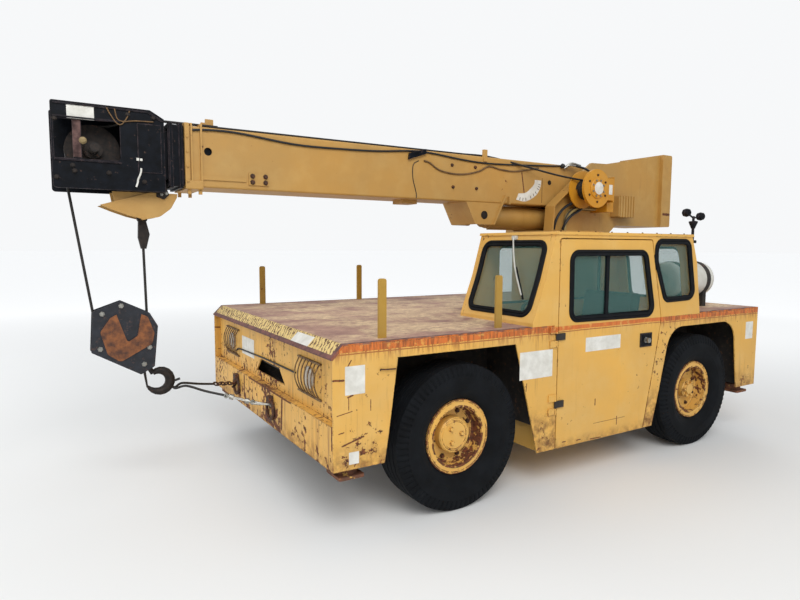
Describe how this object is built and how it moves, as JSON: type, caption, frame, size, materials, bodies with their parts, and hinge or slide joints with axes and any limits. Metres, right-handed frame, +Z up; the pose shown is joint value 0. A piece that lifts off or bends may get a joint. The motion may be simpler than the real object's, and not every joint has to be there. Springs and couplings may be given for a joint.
{
  "type": "carry-deck crane",
  "caption": "Low two-axle industrial crane with a cargo deck, offset cab and slewing telescopic boom whose hook hangs before the nose.",
  "frame": {"origin": "on the ground under the middle of the overall length and width, boom stowed forward", "axes": "+X forward towards the hook, +Y to the driver's left, +Z up"},
  "size_m": [5.44, 2.472, 2.565],
  "materials": {
    "yellow_paint": "worn industrial yellow enamel",
    "deck_steel": "bare plate with a thin even rust",
    "frame_paint": "grimy chassis black",
    "black_paint": "semi-gloss black enamel",
    "cast_iron": "oiled, rusting casting",
    "rope_steel": "greased wire rope",
    "rod_chrome": "hard chrome",
    "window_glass": "clear, faintly green",
    "lamp_lens": "pressed clear lens",
    "seat_vinyl": "black vinyl",
    "tank_white": "white enamel",
    "tyre_rubber": "dusty black rubber"
  },
  "bodies": {
    "chassis": {"skin_left": "yellow_paint", "skin_right": "yellow_paint", "end_panels": "yellow_paint", "cab_side": "yellow_paint", "cab_end_walls": "yellow_paint", "cab_right": "yellow_paint", "cab_roof": "yellow_paint", "cab_tub": "yellow_paint", "pedestal": "yellow_paint", "tie_rings": "yellow_paint", "deck_front": "deck_steel", "deck_rear": "deck_steel", "stake_posts": "deck_steel", "arch_liners": "deck_steel", "frame_rails": "frame_paint", "frame_crossmembers": "frame_paint", "jack_barrels": "frame_paint", "axles": "frame_paint", "tank_bracket": "frame_paint", "lamp_guards": "frame_paint", "cab_controls": "frame_paint", "engine_block": "cast_iron", "cab_glass": "window_glass", "lamps": "lamp_lens", "seat": "seat_vinyl", "gas_tank": "tank_white"},
    "door": {"door_panel": "yellow_paint", "door_glass": "window_glass", "door_hardware": "frame_paint"},
    "turret": {"turret_frame": "yellow_paint", "counterweight": "yellow_paint", "winch_frame": "frame_paint", "winch_drum": "cast_iron"},
    "lift_barrel": {"lift_barrel": "yellow_paint"},
    "lift_rod": {"lift_rod": "rod_chrome"},
    "boom_base": {"boom_base": "yellow_paint"},
    "boom_mid": {"boom_mid": "black_paint"},
    "boom_fly": {"boom_fly": "black_paint", "head_sheave": "cast_iron", "anchor_pod": "yellow_paint"},
    "tackle": {"rope_socket": "cast_iron", "hoist_falls": "rope_steel", "hook_block": "black_paint", "hook": "cast_iron"},
    "knuckle_front_left": {"knuckle_front_left": "cast_iron"},
    "wheel_front_left": {"tyre_front_left": "tyre_rubber", "rim_front_left": "yellow_paint"},
    "jack_front_left": {"jack_leg_front_left": "frame_paint"},
    "knuckle_front_right": {"knuckle_front_right": "cast_iron"},
    "wheel_front_right": {"tyre_front_right": "tyre_rubber", "rim_front_right": "yellow_paint"},
    "jack_front_right": {"jack_leg_front_right": "frame_paint"},
    "knuckle_rear_left": {"knuckle_rear_left": "cast_iron"},
    "wheel_rear_left": {"tyre_rear_left": "tyre_rubber", "rim_rear_left": "yellow_paint"},
    "jack_rear_left": {"jack_leg_rear_left": "frame_paint"},
    "knuckle_rear_right": {"knuckle_rear_right": "cast_iron"},
    "wheel_rear_right": {"tyre_rear_right": "tyre_rubber", "rim_rear_right": "yellow_paint"},
    "jack_rear_right": {"jack_leg_rear_right": "frame_paint"}
  },
  "joints": [
    {"name": "steer_front_left", "type": "hinge", "parent": "chassis", "child": "knuckle_front_left", "pos_m": [0.625, 0.84, 0.4625], "axis": [0, 0, 1], "range_deg": [-24, 24]},
    {"name": "roll_front_left", "type": "hinge", "parent": "knuckle_front_left", "child": "wheel_front_left", "pos_m": [0.625, 1.06, 0.4625], "axis": [0, 1, 0], "continuous": true},
    {"name": "steer_front_right", "type": "hinge", "parent": "chassis", "child": "knuckle_front_right", "pos_m": [0.625, -0.84, 0.4625], "axis": [0, 0, 1], "range_deg": [-24, 24]},
    {"name": "roll_front_right", "type": "hinge", "parent": "knuckle_front_right", "child": "wheel_front_right", "pos_m": [0.625, -1.06, 0.4625], "axis": [0, 1, 0], "continuous": true},
    {"name": "steer_rear_left", "type": "hinge", "parent": "chassis", "child": "knuckle_rear_left", "pos_m": [-1.813, 0.84, 0.4625], "axis": [0, 0, 1], "range_deg": [-24, 24]},
    {"name": "roll_rear_left", "type": "hinge", "parent": "knuckle_rear_left", "child": "wheel_rear_left", "pos_m": [-1.813, 1.06, 0.4625], "axis": [0, 1, 0], "continuous": true},
    {"name": "steer_rear_right", "type": "hinge", "parent": "chassis", "child": "knuckle_rear_right", "pos_m": [-1.813, -0.84, 0.4625], "axis": [0, 0, 1], "range_deg": [-24, 24]},
    {"name": "roll_rear_right", "type": "hinge", "parent": "knuckle_rear_right", "child": "wheel_rear_right", "pos_m": [-1.813, -1.06, 0.4625], "axis": [0, 1, 0], "continuous": true},
    {"name": "jack_down_front_left", "type": "slide", "parent": "chassis", "child": "jack_front_left", "axis": [0, 0, -1], "range_m": [0, 0.36]},
    {"name": "jack_down_front_right", "type": "slide", "parent": "chassis", "child": "jack_front_right", "axis": [0, 0, -1], "range_m": [0, 0.36]},
    {"name": "jack_down_rear_left", "type": "slide", "parent": "chassis", "child": "jack_rear_left", "axis": [0, 0, -1], "range_m": [0, 0.36]},
    {"name": "jack_down_rear_right", "type": "slide", "parent": "chassis", "child": "jack_rear_right", "axis": [0, 0, -1], "range_m": [0, 0.36]},
    {"name": "door_swing", "type": "hinge", "parent": "chassis", "child": "door", "pos_m": [-0.135, 1.2295, 0.8], "axis": [0, 0, -1], "range_deg": [0, 80]},
    {"name": "slew", "type": "hinge", "parent": "chassis", "child": "turret", "pos_m": [-1.375, 0, 1.7], "axis": [0, 0, 1], "continuous": true},
    {"name": "boom_lift", "type": "hinge", "parent": "turret", "child": "boom_base", "pos_m": [-1.675, 0, 2.21], "axis": [0, -1, 0], "range_deg": [0, 65]},
    {"name": "lift_barrel_swing", "type": "hinge", "parent": "turret", "child": "lift_barrel", "pos_m": [-1.395, 0, 1.9], "axis": [0, -1, 0], "range_deg": [0, 70]},
    {"name": "lift_rod_slide", "type": "slide", "parent": "lift_barrel", "child": "lift_rod", "axis": [1, 0, 0], "range_m": [0, 0.43]},
    {"name": "boom_mid_slide", "type": "slide", "parent": "boom_base", "child": "boom_mid", "axis": [1, 0, 0], "range_m": [0, 2.3]},
    {"name": "boom_fly_slide", "type": "slide", "parent": "boom_mid", "child": "boom_fly", "axis": [1, 0, 0], "range_m": [0, 2.3]},
    {"name": "tackle_hang", "type": "hinge", "parent": "boom_fly", "child": "tackle", "pos_m": [2.244, 0, 1.81], "axis": [0, -1, 0], "range_deg": [-65, 0]}
  ],
  "couplings": [
    {"joint": "steer_front_right", "follows": "steer_front_left", "ratio": 1},
    {"joint": "steer_rear_right", "follows": "steer_rear_left", "ratio": 1},
    {"joint": "lift_barrel_swing", "follows": "boom_lift", "ratio": 1.073},
    {"joint": "lift_rod_slide", "follows": "boom_lift", "m_per_rad": 0.3761},
    {"joint": "boom_fly_slide", "follows": "boom_mid_slide", "ratio": 1},
    {"joint": "tackle_hang", "follows": "boom_lift", "ratio": -1}
  ]
}
